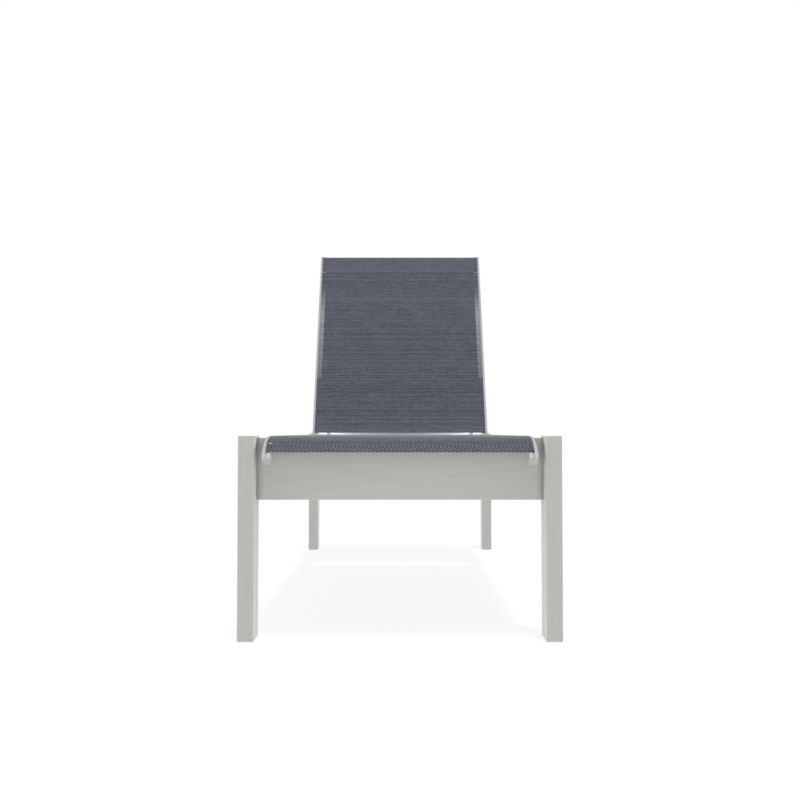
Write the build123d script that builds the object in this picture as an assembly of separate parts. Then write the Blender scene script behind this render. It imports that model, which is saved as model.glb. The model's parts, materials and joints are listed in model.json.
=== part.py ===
from build123d import *
import math
import os

# Outdoor chaise lounge: four square legs, two aprons and two side boards carry a
# sling seat on curved-nose rails and a hinged sling back that an elevator bar props up.
# All lengths are in millimetres and all angles in degrees. While the pieces are made,
# Y = 0 is the front face of the front legs. X is across, Z is up, and -X is the left
# side seen from the front. Each piece is moved to the part's own origin when it is
# saved: the middle of the overall box, on the floor.

# Driving sizes of the board frame
overall_width = 686.0
frame_length = 1665.0
leg_thickness = 35.0
leg_depth = 71.0
leg_top = 433.5
board_thickness = 35.0
apron_below_leg = 4.1
apron_height = 133.0
apron_relief = 13.0
side_board_height = 71.0
board_edge = 1.5

# Driving sizes of the sling rails
rail_width = 18.2
rail_height = 25.4
rail_wall = 2.0
rail_corner = 1.3
rail_below_leg = 1.1
rail_side_gap = 17.1
board_gap = 0.2
nose_radius = 105.0
nose_start_inset = 0.3
nose_angle = 54.8
notch_side = 1.0
cap_thickness = 2.0
spigot_length = 14.0
spigot_clearance = 0.2
tongue_gap = 0.3

# The spline groove in the top of each rail, and the sling that it holds
groove_from_outer = 8.5
groove_depth = 5.0
groove_radius = 3.2
groove_wall = 1.6
groove_mouth = 2.6
spline_radius = 2.2
fabric_wrap = 0.55
fabric_clearance = 0.15
fabric_neck = 1.4
fabric_thickness = 1.0
fabric_lift = 0.3
seat_sling_angle = 47.2
seat_sling_to_pivot = 97.0
back_sling_start = 14.8
back_sling_cap_gap = 0.3

# The hinge and the reclining back
pivot_to_rear = 498.0
back_angle = 62.5
back_length = 745.0
seat_rail_to_pivot = 28.0
hinge_bolt_radius = 4.0
running_clearance = 0.05
hinge_gap = 0.3
hinge_boss_thickness = 1.2
hinge_boss_radius = 9.0
hinge_flange_thickness = 4.2
hinge_flange_radius = 19.4
hinge_plug_reach = 14.0
hinge_plate_thickness = 5.0
hinge_plate_radius = 20.2
hinge_plate_length = 64.0
hinge_plate_root = 8.0
hinge_foot_thickness = 4.0
hinge_screw_inset = 9.0
ledge_inset = 1.2

# Bowed spreader bars between the rails
bar_radius = 8.5
bar_wall = 2.0
bar_bow = 42.0
bar_end_turn = 3.0
seat_bar_front_inset = 79.0
seat_bar_to_pivot = 44.0
seat_bar_middle_share = 0.47
back_bar_low_reach = 39.5
back_bar_apron_gap = 9.5
back_bar_top_inset = 20.0

# The elevator that props the back, and the racks that hold its foot
elevator_arm = 150.0
elevator_length = 240.0
elevator_radius = 6.35
elevator_wall = 2.0
elevator_rack_gap = 2.65
elevator_fold_ratio = 0.78
eye_radius = 8.5
eye_fill = 1.5
weld_gap = 0.15
foot_depth = 50.0
foot_end_gap = 5.0
foot_plug_thickness = 2.0
foot_plug_spigot = 9.0
pivot_bolt_radius = 3.0
pivot_head_radius = 5.5
pivot_head_height = 3.5
spacer_radius = 6.5
insert_radius = 4.2
insert_length = 9.0
rack_thickness = 15.0
rack_bottom_margin = 4.0
rack_end_reach = 24.0
rack_front_rise = 9.0
rack_stop_rise = 12.0
pocket_angle_shares = (1.0, 0.8, 0.608, 0.416)
pocket_clearance = 0.3
pass_clearance = 0.9
path_steps = 120
tooth_height = 8.5
tooth_land = 2.0
rack_screw_count = 3
rack_screw_inset = 14.0
rack_screw_length = 34.0

# Screws, bolts, nuts, brackets and glides
screw_radius = 2.0
screw_head_radius = 4.0
screw_head_height = 2.2
screw_length = 22.0
screw_clearance = 0.15
screw_socket_radius = 1.5
screw_socket_depth = 1.2
leg_bolt_radius = 3.0
leg_bolt_head_radius = 5.5
leg_bolt_head_height = 3.5
leg_bolt_recess_radius = 6.5
leg_bolt_recess_depth = 4.5
leg_bolt_low_inset = 25.6
leg_bolt_spacing = 40.0
leg_bolt_count = 2
bolt_clearance = 0.2
bolt_tail = 6.0
barrel_radius = 5.0
barrel_length = 16.0
barrel_reach = 50.0
barrel_clearance = 0.15
brace_arm = 45.0
brace_height = 24.0
brace_thickness = 3.0
brace_top_inset = 5.6
brace_screw_inset = 13.0
brace_screw_spacing = 20.0
clip_place_shares = (0.125, 0.5, 0.87)
clip_length = 32.0
clip_thickness = 3.0
clip_height = 18.0
clip_gap = 0.3
clip_side_screw_length = 9.0
glide_radius = 12.0
glide_height = 1.0
glide_stem_radius = 3.0
glide_stem_length = 15.0
hinge_head_radius = 6.5
hinge_head_height = 4.6
hinge_nut_radius = 7.0
hinge_nut_height = 6.5
hex_socket_radius = 2.9
hex_socket_depth = 2.6
button_share = 0.6
cut_overrun = 1.0

# Values worked out from the sizes above
half_width = overall_width / 2
leg_inner_x = half_width - leg_thickness
board_inner_x = leg_inner_x - board_thickness
front_apron_top = leg_top - apron_below_leg
apron_low = front_apron_top - apron_height
rail_top = leg_top - rail_below_leg
rail_bottom = rail_top - rail_height
rail_middle = rail_bottom + rail_height / 2
board_top = rail_bottom - board_gap
board_bottom = board_top - side_board_height
rail_outer_x = leg_inner_x - rail_side_gap
rail_inner_x = rail_outer_x - rail_width
rail_x = rail_outer_x - rail_width / 2
groove_x = rail_outer_x - groove_from_outer
groove_z = rail_top - groove_depth
hollow_low = rail_bottom + rail_wall
hollow_high = groove_z - groove_radius - groove_wall
hollow_middle = (hollow_low + hollow_high) / 2
nose_start = leg_depth + nose_start_inset
nose_centre_z = rail_top - nose_radius
nose_turn = math.radians(nose_angle)
nose_reach = nose_radius * math.sin(nose_turn) + cap_thickness * math.cos(nose_turn) - nose_start
origin_y = (frame_length - nose_reach) / 2
pivot_y = frame_length - pivot_to_rear
pivot = (pivot_y, rail_middle)
seat_rail_rear = pivot_y - seat_rail_to_pivot - cap_thickness
seat_sling_rear = pivot_y - seat_sling_to_pivot
back_rail_end = back_length - cap_thickness
hinge_plate_x = rail_outer_x + hinge_boss_thickness + hinge_gap
hinge_flange_x = rail_inner_x - hinge_flange_thickness
hinge_nut_x = hinge_flange_x - hinge_gap
rack_x = board_inner_x - rack_thickness
elevator_x = rack_x - elevator_rack_gap - elevator_radius
foot_bar_half = board_inner_x - foot_end_gap - foot_plug_thickness
elevator_drop = rail_middle - hollow_middle
elevator_pivot_flat = (pivot_y + elevator_arm, hollow_middle)
back_turn = math.radians(back_angle)
elevator_rise = elevator_arm * math.sin(back_turn) - elevator_drop * math.cos(back_turn)
elevator_rest = math.asin((elevator_rise + foot_depth) / elevator_length)


def block(x_span, y_span, z_span):
    """A box between three pairs of limits."""
    spans = (x_span, y_span, z_span)
    middle = [(low + high) / 2 for low, high in spans]
    sizes = [high - low for low, high in spans]
    return Pos(*middle) * Box(*sizes)


def rod_x(radius, x_span, y, z):
    """A round bar along X."""
    low, high = x_span
    return Pos((low + high) / 2, y, z) * Rot(0, 90, 0) * Cylinder(radius, high - low)


def hex_socket(radius, depth):
    """A hexagonal socket that goes down from the origin."""
    return extrude(RegularPolygon(radius, 6), amount=-depth)


def facing(x, y, z, direction):
    """A place whose own Z points along the given direction."""
    return Location(Plane(origin=(x, y, z), z_dir=direction))


def on_left(shape):
    """The same piece on the other side."""
    return mirror(shape, about=Plane.YZ)


def at_rear(shape):
    """The same piece at the other end of the board frame."""
    return mirror(shape, about=Plane.XZ.offset(-frame_length / 2))


def both_sides(shape):
    """A right-hand piece and its mirror image, as one group."""
    return [shape, on_left(shape)]


def save(name, pieces):
    """Writes one node, moved to the part's own origin."""
    group = pieces if isinstance(pieces, list) else [pieces]
    placed = [Pos(0, -origin_y, 0) * solid for piece in group for solid in piece.solids()]
    shape = placed[0] if len(placed) == 1 else Compound(children=placed)
    export_step(shape, f"parts/{name}.step")


# Screws and bolts: each has a solid and the hole that it needs, from the same place

def screw(place, length):
    """Countersunk screw with its head face at the place, pointing down its own Z."""
    head = Pos(0, 0, -screw_head_height / 2) * Cone(screw_radius, screw_head_radius, screw_head_height)
    shank = Pos(0, 0, -length / 2) * Cylinder(screw_radius, length)
    return place * (head + shank - hex_socket(screw_socket_radius, screw_socket_depth))


def screw_hole(place, length):
    """The countersunk hole of that screw."""
    radius = screw_radius + screw_clearance
    head_radius = screw_head_radius + screw_clearance
    head = Pos(0, 0, -screw_head_height / 2) * Cone(radius, head_radius, screw_head_height)
    mouth = Pos(0, 0, cut_overrun / 2) * Cylinder(head_radius, cut_overrun)
    depth = length + screw_clearance
    shank = Pos(0, 0, -depth / 2) * Cylinder(radius, depth)
    return place * (head + mouth + shank)


# Board frame

bolt_y = leg_depth - board_thickness / 2
bolt_low_z = apron_low + leg_bolt_low_inset
bolt_heights = [bolt_low_z + step * leg_bolt_spacing for step in range(leg_bolt_count)]
barrel_x = leg_inner_x - barrel_reach
leg_bolt_length = half_width - leg_bolt_recess_depth - barrel_x + bolt_tail


def leg_bolt_places():
    """The heads of the two bolts of the front right leg, on the floor of their recesses."""
    x = half_width - leg_bolt_recess_depth
    return [facing(x, bolt_y, z, (1, 0, 0)) for z in bolt_heights]


def make_leg_bolts():
    """Button-head bolts from the leg's outer face to the barrel nuts."""
    bolts = []
    for place in leg_bolt_places():
        head = Pos(0, 0, leg_bolt_head_height / 2) * Cylinder(leg_bolt_head_radius, leg_bolt_head_height)
        head = fillet(head.edges().group_by(Axis.Z)[-1], leg_bolt_head_height * button_share)
        shank = Pos(0, 0, -leg_bolt_length / 2) * Cylinder(leg_bolt_radius, leg_bolt_length)
        socket = Pos(0, 0, leg_bolt_head_height) * hex_socket(hex_socket_radius, hex_socket_depth)
        bolts.append(place * (head + shank - socket))
    return bolts


def leg_bolt_holes():
    """Bolt holes with the recess that hides each head."""
    length = leg_bolt_length + bolt_clearance
    holes = []
    for place in leg_bolt_places():
        shank = Pos(0, 0, -length / 2) * Cylinder(leg_bolt_radius + bolt_clearance, length)
        depth = leg_bolt_recess_depth + cut_overrun
        recess = Pos(0, 0, depth / 2) * Cylinder(leg_bolt_recess_radius, depth)
        holes.append(place * (recess + shank))
    return holes


def barrel(radius, y_span, z):
    """A cylinder along Y on the line of one leg bolt."""
    low, high = y_span
    return Pos(barrel_x, (low + high) / 2, z) * Rot(90, 0, 0) * Cylinder(radius, high - low)


def make_barrel_nuts():
    """Cross dowels in the apron, each with the bolt's hole."""
    nuts = []
    y_span = (bolt_y - barrel_length / 2, bolt_y + barrel_length / 2)
    for z in bolt_heights:
        bolt = rod_x(leg_bolt_radius + bolt_clearance, (barrel_x - barrel_reach, leg_inner_x), bolt_y, z)
        nuts.append(barrel(barrel_radius, y_span, z) - bolt)
    return nuts


def barrel_holes():
    y_span = (bolt_y - barrel_length / 2 - barrel_clearance, leg_depth + cut_overrun)
    return [barrel(barrel_radius + barrel_clearance, y_span, z) for z in bolt_heights]


def make_glide():
    """Flat nylon glide with a stem, under the front right leg."""
    x = half_width - leg_thickness / 2
    y = leg_depth / 2
    disc = Pos(x, y, glide_height / 2) * Cylinder(glide_radius, glide_height)
    stem = Pos(x, y, glide_height + glide_stem_length / 2) * Cylinder(glide_stem_radius, glide_stem_length)
    return disc + stem


def make_leg():
    """Front right leg: a square post with eased edges."""
    post = block((leg_inner_x, half_width), (0, leg_depth), (glide_height, leg_top))
    post = fillet(post.edges(), board_edge)
    depth = glide_stem_length + screw_clearance
    x = half_width - leg_thickness / 2
    stem_hole = Pos(x, leg_depth / 2, glide_height + depth / 2) * Cylinder(
        glide_stem_radius + screw_clearance, depth)
    return post - leg_bolt_holes() - stem_hole


def brace_screw_places():
    """Two screws into the apron and two into the side board, on the front right brace."""
    z = board_top - brace_top_inset - brace_height / 2
    places = []
    for step in (0, 1):
        reach = brace_screw_inset + step * brace_screw_spacing
        apron_x = board_inner_x - reach
        places.append(facing(apron_x, leg_depth + brace_thickness, z, (0, 1, 0)))
        places.append(facing(board_inner_x - brace_thickness, leg_depth + reach, z, (-1, 0, 0)))
    return places


def make_brace():
    """Angle bracket in the corner between the apron and the side board."""
    z_span = (board_top - brace_top_inset - brace_height, board_top - brace_top_inset)
    inner = board_inner_x
    on_apron = block((inner - brace_arm, inner), (leg_depth, leg_depth + brace_thickness), z_span)
    on_board = block((inner - brace_thickness, inner), (leg_depth, leg_depth + brace_arm), z_span)
    angle = on_apron + on_board
    return angle - [screw_hole(place, screw_length) for place in brace_screw_places()]


def brace_holes():
    return [screw_hole(place, screw_length) for place in brace_screw_places()]


def end_board(top):
    """A board between two legs, flush with their inner side, with its bolt and screw holes."""
    board = block((-leg_inner_x, leg_inner_x), (leg_depth - board_thickness, leg_depth), (apron_low, top))
    board = fillet(board.edges(), board_edge)
    for holes in (leg_bolt_holes(), barrel_holes(), brace_holes()):
        for hole in holes:
            board = board - hole - on_left(hole)
    return board


def make_front_apron():
    """The front board is taller, with a notch for each seat rail and a lower top between them."""
    y_front = leg_depth - board_thickness
    inner_radius = nose_radius - rail_height
    drop = inner_radius - math.sqrt(inner_radius ** 2 - (nose_start - y_front) ** 2)
    x_span = (rail_inner_x - notch_side, rail_outer_x + notch_side)
    y_span = (y_front - cut_overrun, leg_depth + cut_overrun)
    notch = block(x_span, y_span, (rail_bottom - drop - hinge_gap, front_apron_top + cut_overrun))
    relief_z = (front_apron_top - apron_relief, front_apron_top + cut_overrun)
    relief = block((-rail_inner_x, rail_inner_x), y_span, relief_z)
    return end_board(front_apron_top) - notch - on_left(notch) - relief


def make_rear_apron():
    return at_rear(end_board(board_top))


def make_side_board():
    """Right side board between the aprons, with every screw hole along it."""
    y_span = (leg_depth, frame_length - leg_depth)
    board = block((board_inner_x, leg_inner_x), y_span, (board_top - side_board_height, board_top))
    board = fillet(board.edges().filter_by(Axis.Y), board_edge)
    holes = brace_holes()
    holes += [at_rear(hole) for hole in brace_holes()]
    holes += [screw_hole(place, screw_length) for place in clip_foot_places()]
    holes += [screw_hole(place, screw_length) for place in hinge_screw_places()]
    holes += [screw_hole(place, rack_screw_length) for place in rack_screw_places()]
    return board - holes


# Sling rails and what slides in them

def rail_plane(y=nose_start):
    """A drawing plane across the rails, whose own axes are X and Z."""
    return Plane(origin=(0, y, 0), x_dir=(1, 0, 0), z_dir=(0, -1, 0))


def rail_section():
    """Hollow rail with a round groove under a narrow mouth in its top."""
    middle = Pos(rail_x, rail_middle)
    outside = middle * RectangleRounded(rail_width, rail_height, rail_corner)
    hollow = middle * Rectangle(rail_width - 2 * rail_wall, rail_height - 2 * rail_wall)
    ring = Pos(groove_x, groove_z) * Circle(groove_radius + groove_wall)
    bore = Pos(groove_x, groove_z) * Circle(groove_radius)
    mouth = Pos(groove_x, groove_z + groove_depth / 2) * Rectangle(groove_mouth, groove_depth)
    mouth_overrun = Pos(groove_x, rail_top) * Rectangle(groove_mouth, cut_overrun)
    return outside - (hollow - ring) - bore - mouth - mouth_overrun


def spigot_section():
    """The part of a plug that fits in the rail's hollow, below the groove."""
    low = hollow_low + spigot_clearance
    high = hollow_high - spigot_clearance
    width = rail_width - 2 * rail_wall - 2 * spigot_clearance
    return Pos(rail_x, (low + high) / 2) * Rectangle(width, high - low)


def cap_section():
    return Pos(rail_x, rail_middle) * RectangleRounded(rail_width, rail_height, rail_corner)


def tongue_section():
    """Fills the groove and its mouth, flush with the rail's top."""
    bead = Pos(groove_x, groove_z) * Circle(groove_radius - spigot_clearance)
    width = groove_mouth - 2 * spigot_clearance
    return bead + Pos(groove_x, groove_z + groove_depth / 2) * Rectangle(width, groove_depth)


def sling_section():
    """Fabric sheet over both rails, with a wrap round each spline in its groove."""
    low = rail_top + fabric_lift
    high = low + fabric_thickness
    reach = groove_x + fabric_neck / 2
    section = Pos(0, (low + high) / 2) * Rectangle(2 * reach, fabric_thickness)
    inside = spline_radius + fabric_clearance
    for side in (1, -1):
        neck_low = groove_z + inside
        neck = Pos(side * groove_x, (neck_low + high) / 2) * Rectangle(fabric_neck, high - neck_low)
        wrap = Pos(side * groove_x, groove_z) * Circle(inside + fabric_wrap)
        section = section + neck + wrap
    for side in (1, -1):
        section = section - Pos(side * groove_x, groove_z) * Circle(inside)
    return section


def nose_axis():
    return Axis((0, nose_start, nose_centre_z), (1, 0, 0))


def along_seat(section, angle, rear):
    """A section run straight from the rear, then round the nose by an angle."""
    face = rail_plane() * section
    straight = extrude(face, amount=-(rear - nose_start))
    curved = revolve(face, axis=nose_axis(), revolution_arc=angle)
    return straight + curved


def make_seat_rail():
    rail = along_seat(rail_section(), nose_angle, seat_rail_rear)
    return rail - [screw_hole(place, clip_side_screw_length) for place in clip_side_places()]


def make_seat_spline():
    section = Pos(groove_x, groove_z) * Circle(spline_radius)
    return along_seat(section, seat_sling_angle, seat_sling_rear)


def make_seat_sling():
    return along_seat(sling_section(), seat_sling_angle, seat_sling_rear)


def make_nose_cap():
    """Flush cap on the curved front end, with a spigot bent like the rail and a tongue
    that fills the groove up to the sling's front edge."""
    cap = extrude(rail_plane() * cap_section(), amount=cap_thickness)
    cap = cap.rotate(nose_axis(), nose_angle)
    spigot_turn = math.degrees(spigot_length / nose_radius)
    tongue_turn = nose_angle - seat_sling_angle - math.degrees(tongue_gap / nose_radius)
    for section, turn in ((spigot_section(), spigot_turn), (tongue_section(), tongue_turn)):
        bent = revolve(rail_plane() * section, axis=nose_axis(), revolution_arc=turn)
        cap += bent.rotate(nose_axis(), nose_angle - turn)
    return cap


def end_cap(y, way):
    """Flush cap on a straight rail end at Y, facing +Y for way 1 and -Y for way -1."""
    plate = extrude(rail_plane(y) * cap_section(), amount=-way * cap_thickness)
    spigot = extrude(rail_plane(y) * spigot_section(), amount=way * spigot_length)
    return plate + spigot


def bowed_bar(y):
    """Tube between the rails' inner faces, bowed down in the middle."""
    radius = (rail_inner_x ** 2 + bar_bow ** 2) / (2 * bar_bow)
    centre_z = rail_middle - bar_bow + radius
    half_turn = math.degrees(math.asin(rail_inner_x / radius)) + bar_end_turn
    ring = Circle(bar_radius) - Circle(bar_radius - bar_wall)
    axis = Axis((0, y, centre_z), (0, 1, 0))
    face = Plane(origin=(0, y, rail_middle - bar_bow), x_dir=(0, 1, 0), z_dir=(1, 0, 0)) * ring
    tube = revolve(face.rotate(axis, half_turn), axis=axis, revolution_arc=-2 * half_turn)
    reach_z = (rail_middle - 2 * bar_bow, rail_middle + 2 * bar_bow)
    return tube & block((-rail_inner_x, rail_inner_x), (y - bar_bow, y + bar_bow), reach_z)


# Rail clips on the side boards

clip_x = rail_outer_x + clip_gap
ledge_end_x = leg_inner_x - ledge_inset
ledge_screw_x = ledge_end_x - screw_head_radius - board_edge
clip_places = [nose_start + share * (seat_rail_rear - nose_start) for share in clip_place_shares]


def clip_foot_places():
    return [facing(ledge_screw_x, y, board_top + clip_thickness, (0, 0, 1)) for y in clip_places]


def clip_side_places():
    """Screws through each clip into the rail's outer wall, below the groove."""
    x = clip_x + clip_thickness
    shift = clip_length / 4
    return [facing(x, y + way * shift, hollow_middle, (1, 0, 0)) for y in clip_places for way in (-1, 1)]


def make_rail_clips():
    """Angle clips that hold the right seat rail down on its board."""
    clips = []
    for y in clip_places:
        y_span = (y - clip_length / 2, y + clip_length / 2)
        flat = block((clip_x, ledge_end_x), y_span, (board_top, board_top + clip_thickness))
        side = block((clip_x, clip_x + clip_thickness), y_span, (board_top, board_top + clip_height))
        clips.append(flat + side)
    cut = [screw_hole(place, screw_length) for place in clip_foot_places()]
    cut += [screw_hole(place, clip_side_screw_length) for place in clip_side_places()]
    return [clip - cut for clip in clips]


def make_clip_screws():
    screws = [screw(place, screw_length) for place in clip_foot_places()]
    screws += [screw(place, clip_side_screw_length) for place in clip_side_places()]
    return screws


# Hinge

def hinge_screw_places():
    reach = hinge_plate_length / 2 - hinge_screw_inset
    z = board_top + hinge_foot_thickness
    return [facing(ledge_screw_x, pivot_y + way * reach, z, (0, 0, 1)) for way in (-1, 1)]


def make_hinge_plate():
    """Upright ear with a screwed foot, outside the right rail."""
    y_span = (pivot_y - hinge_plate_length / 2, pivot_y + hinge_plate_length / 2)
    x_span = (hinge_plate_x, hinge_plate_x + hinge_plate_thickness)
    ear = rod_x(hinge_plate_radius, x_span, *pivot)
    root = block(x_span, y_span, (board_top, board_top + hinge_plate_root))
    flat_x = (hinge_plate_x, ledge_end_x)
    flat = block(flat_x, y_span, (board_top, board_top + hinge_foot_thickness))
    below = block(flat_x, y_span, (board_top - hinge_plate_radius, board_top))
    bore = rod_x(hinge_bolt_radius + running_clearance, flat_x, *pivot)
    cut = [screw_hole(place, screw_length) for place in hinge_screw_places()]
    return ear + root + flat - below - bore - cut


def make_hinge_plug():
    """Round-nosed bearing plug in the lower end of the right back rail, lying flat, with a
    wide flange beside the rail's inner face."""
    x_span = (rail_inner_x, rail_outer_x)
    nose = rod_x(rail_height / 2, x_span, *pivot)
    body = block(x_span, (pivot_y, pivot_y + hinge_plug_reach), (rail_bottom, rail_top))
    spigot = extrude(rail_plane(pivot_y + hinge_plug_reach) * spigot_section(), amount=-spigot_length)
    boss = rod_x(hinge_boss_radius, (rail_outer_x, rail_outer_x + hinge_boss_thickness), *pivot)
    flange = rod_x(hinge_flange_radius, (hinge_flange_x, rail_inner_x), *pivot)
    bore_span = (hinge_flange_x - cut_overrun, hinge_plate_x)
    bore = rod_x(hinge_bolt_radius + running_clearance, bore_span, *pivot)
    return nose + body + spigot + boss + flange - bore


def make_hinge_bolt():
    """Shoulder bolt with its head outside the plate."""
    outer = hinge_plate_x + hinge_plate_thickness
    shank = rod_x(hinge_bolt_radius, (hinge_nut_x - hinge_nut_height, outer), *pivot)
    head = rod_x(hinge_head_radius, (outer, outer + hinge_head_height), *pivot)
    head = fillet(head.edges().group_by(Axis.X)[-1], hinge_head_height * button_share)
    socket = facing(outer + hinge_head_height, *pivot, (1, 0, 0)) * hex_socket(
        hex_socket_radius, hex_socket_depth)
    return shank + head - socket


def make_hinge_nut():
    """Hexagonal lock nut inside the plug's flange."""
    place = facing(hinge_nut_x, *pivot, (1, 0, 0))
    nut = place * extrude(RegularPolygon(hinge_nut_radius, 6), amount=-hinge_nut_height)
    span = (hinge_nut_x - hinge_nut_height, hinge_nut_x + cut_overrun)
    return nut - rod_x(hinge_bolt_radius + running_clearance, span, *pivot)


# The back, made lying flat behind the pivot and then raised to its rest angle

def raised(shape):
    """Turns a piece of the flat back up to the rest angle."""
    return shape.rotate(Axis((0, *pivot), (1, 0, 0)), back_angle)


def make_back_rail():
    """Right back rail with holes for the elevator's threaded insert."""
    start = pivot_y + hinge_plug_reach
    length = back_rail_end - hinge_plug_reach
    rail = extrude(rail_plane(start) * rail_section(), amount=-length)
    hole_span = (rail_inner_x - cut_overrun, rail_inner_x + rail_wall + cut_overrun)
    return rail - rod_x(insert_radius + bolt_clearance, hole_span, *elevator_pivot_flat)


def back_strip(section):
    """A sling or spline section along the back's covered length."""
    start = pivot_y + back_sling_start
    length = back_rail_end - back_sling_cap_gap - back_sling_start
    return extrude(rail_plane(start) * section, amount=-length)


def make_back_sling():
    return back_strip(sling_section())


def make_back_spline():
    return back_strip(Pos(groove_x, groove_z) * Circle(spline_radius))


def make_back_cap():
    return end_cap(pivot_y + back_rail_end, 1)


def make_elevator_insert():
    """Threaded insert in the inner wall of the right back rail."""
    span = (rail_inner_x, rail_inner_x + insert_length)
    bore = rod_x(pivot_bolt_radius + running_clearance, span, *elevator_pivot_flat)
    return rod_x(insert_radius, span, *elevator_pivot_flat) - bore


def make_elevator_spacer():
    """Tube that keeps the elevator's eye clear of the rail and the rack."""
    span = (elevator_x + elevator_radius + hinge_gap, rail_inner_x)
    bore = rod_x(pivot_bolt_radius + running_clearance, span, *elevator_pivot_flat)
    return rod_x(spacer_radius, span, *elevator_pivot_flat) - bore


def make_elevator_bolt():
    """Bolt from inside, through the eye and the spacer into the insert."""
    under_head = elevator_x - elevator_radius - hinge_gap
    shank_span = (under_head, rail_inner_x + insert_length)
    shank = rod_x(pivot_bolt_radius, shank_span, *elevator_pivot_flat)
    head = rod_x(pivot_head_radius, (under_head - pivot_head_height, under_head), *elevator_pivot_flat)
    head = fillet(head.edges().group_by(Axis.X)[0], pivot_head_height * button_share)
    socket = facing(under_head - pivot_head_height, *elevator_pivot_flat, (-1, 0, 0)) * hex_socket(
        hex_socket_radius, hex_socket_depth)
    return shank + head - socket


# The elevator, made where it stands at rest

def elevator_pivot_at(angle):
    """The elevator's pivot for a back angle, in Y and Z."""
    turn = math.radians(angle)
    y = pivot_y + elevator_arm * math.cos(turn) + elevator_drop * math.sin(turn)
    z = rail_middle + elevator_arm * math.sin(turn) - elevator_drop * math.cos(turn)
    return y, z


elevator_pivot = elevator_pivot_at(back_angle)
foot = (
    elevator_pivot[0] + elevator_length * math.cos(elevator_rest),
    elevator_pivot[1] - elevator_length * math.sin(elevator_rest))


def along_elevator(radius, start, end):
    """A round bar along the elevator's right leg, between two distances from its pivot."""
    direction = (0, math.cos(elevator_rest), -math.sin(elevator_rest))
    middle = (start + end) / 2
    x, y, z = elevator_x, *elevator_pivot
    place = facing(x, y + middle * direction[1], z + middle * direction[2], direction)
    return place * Cylinder(radius, end - start)


def make_elevator_leg():
    """Tube with an eye at the back's pivot and a saddle on the foot bar."""
    eye_span = (elevator_x - elevator_radius, elevator_x + elevator_radius)
    eye = rod_x(eye_radius, eye_span, *elevator_pivot)
    tube = along_elevator(elevator_radius, 0, elevator_length)
    hollow = along_elevator(elevator_radius - elevator_wall, eye_radius + eye_fill, elevator_length)
    saddle = rod_x(elevator_radius + weld_gap, (0, leg_inner_x), *foot)
    bore = rod_x(pivot_bolt_radius + running_clearance, eye_span, *elevator_pivot)
    return eye + (tube - hollow) - saddle - bore


def make_foot_bar():
    outer = rod_x(elevator_radius, (-foot_bar_half, foot_bar_half), *foot)
    return outer - rod_x(elevator_radius - elevator_wall, (-foot_bar_half, foot_bar_half), *foot)


def make_foot_plug():
    cap = rod_x(elevator_radius, (foot_bar_half, foot_bar_half + foot_plug_thickness), *foot)
    inside = elevator_radius - elevator_wall - spigot_clearance
    return cap + rod_x(inside, (foot_bar_half - foot_plug_spigot, foot_bar_half), *foot)


# Racks: the foot's pockets and the teeth that its folding path clears

pocket_angles = [back_angle * share for share in pocket_angle_shares]
pocket_radius = elevator_radius + pocket_clearance
rack_floor = foot[1] - pocket_radius
rack_bottom = board_bottom + rack_bottom_margin


def foot_path(angle):
    """The foot's centre in Y and Z for a back angle, as the elevator folds with the back."""
    y, z = elevator_pivot_at(angle)
    lean = elevator_rest + elevator_fold_ratio * math.radians(angle - back_angle)
    return y + elevator_length * math.cos(lean), z - elevator_length * math.sin(lean)


def pocket_place(angle):
    """The Y of the foot's centre where it rests at the rack's level, for a back angle."""
    y, z = elevator_pivot_at(angle)
    return y + math.sqrt(elevator_length ** 2 - (z - foot[1]) ** 2)


def clear_height(y):
    """The highest that a tooth may stand at Y, under the foot's folding path."""
    passing = elevator_radius + pass_clearance
    path = [foot_path(back_angle * (1 - step / path_steps)) for step in range(path_steps + 1)]
    over = [point for point in path if abs(point[0] - y) < passing]
    return min(point[1] - math.sqrt(passing ** 2 - (point[0] - y) ** 2) for point in over)


def rack_screw_places():
    """Screws from the inner face of the right rack into the side board."""
    low, high = rack_limits()
    step = (high - low - 2 * rack_screw_inset) / (rack_screw_count - 1)
    z = (rack_bottom + rack_floor) / 2
    first = low + rack_screw_inset
    return [facing(rack_x, first + index * step, z, (-1, 0, 0)) for index in range(rack_screw_count)]


def rack_limits():
    """The front and rear ends of a rack."""
    first, *between, last = pocket_angles
    return pocket_place(first) - rack_end_reach, pocket_place(last) + rack_end_reach


def leaving_angle():
    """How steeply the foot's path rises as it leaves its rest pocket, in radians."""
    later = foot_path(back_angle * (1 - 1 / path_steps))
    return math.atan2(later[1] - foot[1], later[0] - foot[0])


def rack_outline():
    """Side view of a rack: a front wall, a low hump that the foot clears as it leaves
    its rest pocket, teeth with a steep face behind each other pocket, and a rear stop."""
    front, rear = rack_limits()
    first, *others = [pocket_place(angle) for angle in pocket_angles]
    wall_top = rack_floor + rack_front_rise
    points = [(front, rack_bottom), (front, wall_top), (first - pocket_radius, wall_top)]
    points.append((first - pocket_radius, foot[1]))
    slope_y = first + pocket_radius * math.sin(leaving_angle())
    points.append((slope_y, foot[1] - pocket_radius * math.cos(leaving_angle())))
    hump = others[0] - pocket_radius - tooth_land
    points.append((hump, clear_height(hump)))
    for place in others:
        points += [(place, rack_floor), (place + pocket_radius, foot[1])]
        rise = rack_stop_rise if place == others[-1] else tooth_height
        for y in (place + pocket_radius, place + pocket_radius + tooth_land):
            points.append((y, min(clear_height(y), rack_floor + rise)))
    points += [(rear, points[-1][1]), (rear, rack_bottom)]
    return points


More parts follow.
